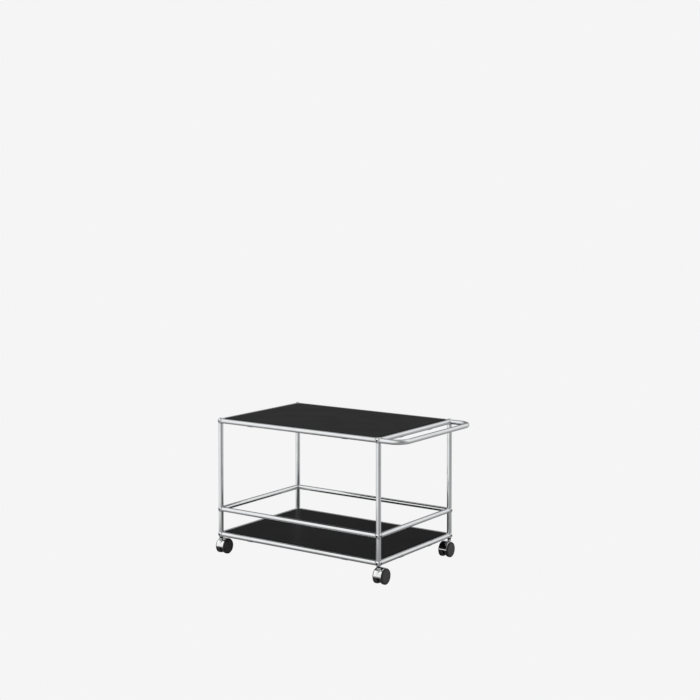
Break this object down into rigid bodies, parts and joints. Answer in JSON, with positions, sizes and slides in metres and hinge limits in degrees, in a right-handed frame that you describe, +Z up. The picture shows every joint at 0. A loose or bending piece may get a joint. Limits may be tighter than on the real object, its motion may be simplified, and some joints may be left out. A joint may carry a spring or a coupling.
{
  "type": "tube and ball frame trolley",
  "caption": "Two-shelf trolley: chromed tubes joined by balls, black sheet shelves, low gallery rail, U-shaped push handle, hooded twin-wheel swivel casters.",
  "frame": {"origin": "on the floor, at the middle of the trolley's outline seen from above, push handle included", "axes": "+X along the trolley towards the push handle, +Y from the front to the back, +Z up"},
  "size_m": [0.8808, 0.5234, 0.5414],
  "materials": {
    "tube_chrome": "polished",
    "ball_chrome": "polished",
    "caster_chrome": "polished",
    "pin_steel": "turned",
    "screw_steel": "zinc plated",
    "plug_steel": "turned",
    "clip_steel": "spring steel",
    "panel_black": "satin powder coat",
    "wheel_plastic": "satin moulded",
    "tyre_rubber": "matte"
  },
  "bodies": {
    "frame": {"bottom_balls": "ball_chrome", "gallery_balls": "ball_chrome", "top_balls": "ball_chrome", "push_handle": "tube_chrome", "bottom_panel": "panel_black", "top_panel": "panel_black", "bottom_panel_clips": "clip_steel", "top_panel_clips": "clip_steel", "tube_screws": "screw_steel", "tube_plugs": "plug_steel", "bottom_rail_front": "tube_chrome", "bottom_rail_back": "tube_chrome", "bottom_rail_left": "tube_chrome", "bottom_rail_right": "tube_chrome", "gallery_rail_front": "tube_chrome", "gallery_rail_back": "tube_chrome", "gallery_rail_left": "tube_chrome", "gallery_rail_right": "tube_chrome", "top_rail_front": "tube_chrome", "top_rail_back": "tube_chrome", "top_rail_left": "tube_chrome", "top_rail_right": "tube_chrome", "lower_post_front_left": "tube_chrome", "lower_post_front_right": "tube_chrome", "lower_post_back_left": "tube_chrome", "lower_post_back_right": "tube_chrome", "upper_post_front_left": "tube_chrome", "upper_post_front_right": "tube_chrome", "upper_post_back_left": "tube_chrome", "upper_post_back_right": "tube_chrome", "front_left_caster_stem": "pin_steel", "front_right_caster_stem": "pin_steel", "back_left_caster_stem": "pin_steel", "back_right_caster_stem": "pin_steel"},
    "front_left_caster": {"front_left_caster_housing": "caster_chrome", "front_left_caster_axle": "pin_steel"},
    "front_left_left_wheel_set": {"front_left_left_wheel": "wheel_plastic", "front_left_left_tyre": "tyre_rubber"},
    "front_left_right_wheel_set": {"front_left_right_wheel": "wheel_plastic", "front_left_right_tyre": "tyre_rubber"},
    "front_right_caster": {"front_right_caster_housing": "caster_chrome", "front_right_caster_axle": "pin_steel"},
    "front_right_left_wheel_set": {"front_right_left_wheel": "wheel_plastic", "front_right_left_tyre": "tyre_rubber"},
    "front_right_right_wheel_set": {"front_right_right_wheel": "wheel_plastic", "front_right_right_tyre": "tyre_rubber"},
    "back_left_caster": {"back_left_caster_housing": "caster_chrome", "back_left_caster_axle": "pin_steel"},
    "back_left_left_wheel_set": {"back_left_left_wheel": "wheel_plastic", "back_left_left_tyre": "tyre_rubber"},
    "back_left_right_wheel_set": {"back_left_right_wheel": "wheel_plastic", "back_left_right_tyre": "tyre_rubber"},
    "back_right_caster": {"back_right_caster_housing": "caster_chrome", "back_right_caster_axle": "pin_steel"},
    "back_right_left_wheel_set": {"back_right_left_wheel": "wheel_plastic", "back_right_left_tyre": "tyre_rubber"},
    "back_right_right_wheel_set": {"back_right_right_wheel": "wheel_plastic", "back_right_right_tyre": "tyre_rubber"}
  },
  "joints": [
    {"name": "front_left_swivel", "type": "hinge", "parent": "frame", "child": "front_left_caster", "pos_m": [-0.4191, -0.25, 0.05972], "axis": [0, 0, 1], "continuous": true},
    {"name": "front_left_left_wheel_spin", "type": "hinge", "parent": "front_left_caster", "child": "front_left_left_wheel_set", "pos_m": [-0.4191, -0.23, 0.029], "axis": [1, 0, 0], "continuous": true},
    {"name": "front_left_right_wheel_spin", "type": "hinge", "parent": "front_left_caster", "child": "front_left_right_wheel_set", "pos_m": [-0.4191, -0.23, 0.029], "axis": [1, 0, 0], "continuous": true},
    {"name": "front_right_swivel", "type": "hinge", "parent": "frame", "child": "front_right_caster", "pos_m": [0.3309, -0.25, 0.05972], "axis": [0, 0, 1], "continuous": true},
    {"name": "front_right_left_wheel_spin", "type": "hinge", "parent": "front_right_caster", "child": "front_right_left_wheel_set", "pos_m": [0.3309, -0.23, 0.029], "axis": [1, 0, 0], "continuous": true},
    {"name": "front_right_right_wheel_spin", "type": "hinge", "parent": "front_right_caster", "child": "front_right_right_wheel_set", "pos_m": [0.3309, -0.23, 0.029], "axis": [1, 0, 0], "continuous": true},
    {"name": "back_left_swivel", "type": "hinge", "parent": "frame", "child": "back_left_caster", "pos_m": [-0.4191, 0.25, 0.05972], "axis": [0, 0, 1], "continuous": true},
    {"name": "back_left_left_wheel_spin", "type": "hinge", "parent": "back_left_caster", "child": "back_left_left_wheel_set", "pos_m": [-0.4191, 0.23, 0.029], "axis": [1, 0, 0], "continuous": true},
    {"name": "back_left_right_wheel_spin", "type": "hinge", "parent": "back_left_caster", "child": "back_left_right_wheel_set", "pos_m": [-0.4191, 0.23, 0.029], "axis": [1, 0, 0], "continuous": true},
    {"name": "back_right_swivel", "type": "hinge", "parent": "frame", "child": "back_right_caster", "pos_m": [0.3309, 0.25, 0.05972], "axis": [0, 0, 1], "continuous": true},
    {"name": "back_right_left_wheel_spin", "type": "hinge", "parent": "back_right_caster", "child": "back_right_left_wheel_set", "pos_m": [0.3309, 0.23, 0.029], "axis": [1, 0, 0], "continuous": true},
    {"name": "back_right_right_wheel_spin", "type": "hinge", "parent": "back_right_caster", "child": "back_right_right_wheel_set", "pos_m": [0.3309, 0.23, 0.029], "axis": [1, 0, 0], "continuous": true}
  ]
}
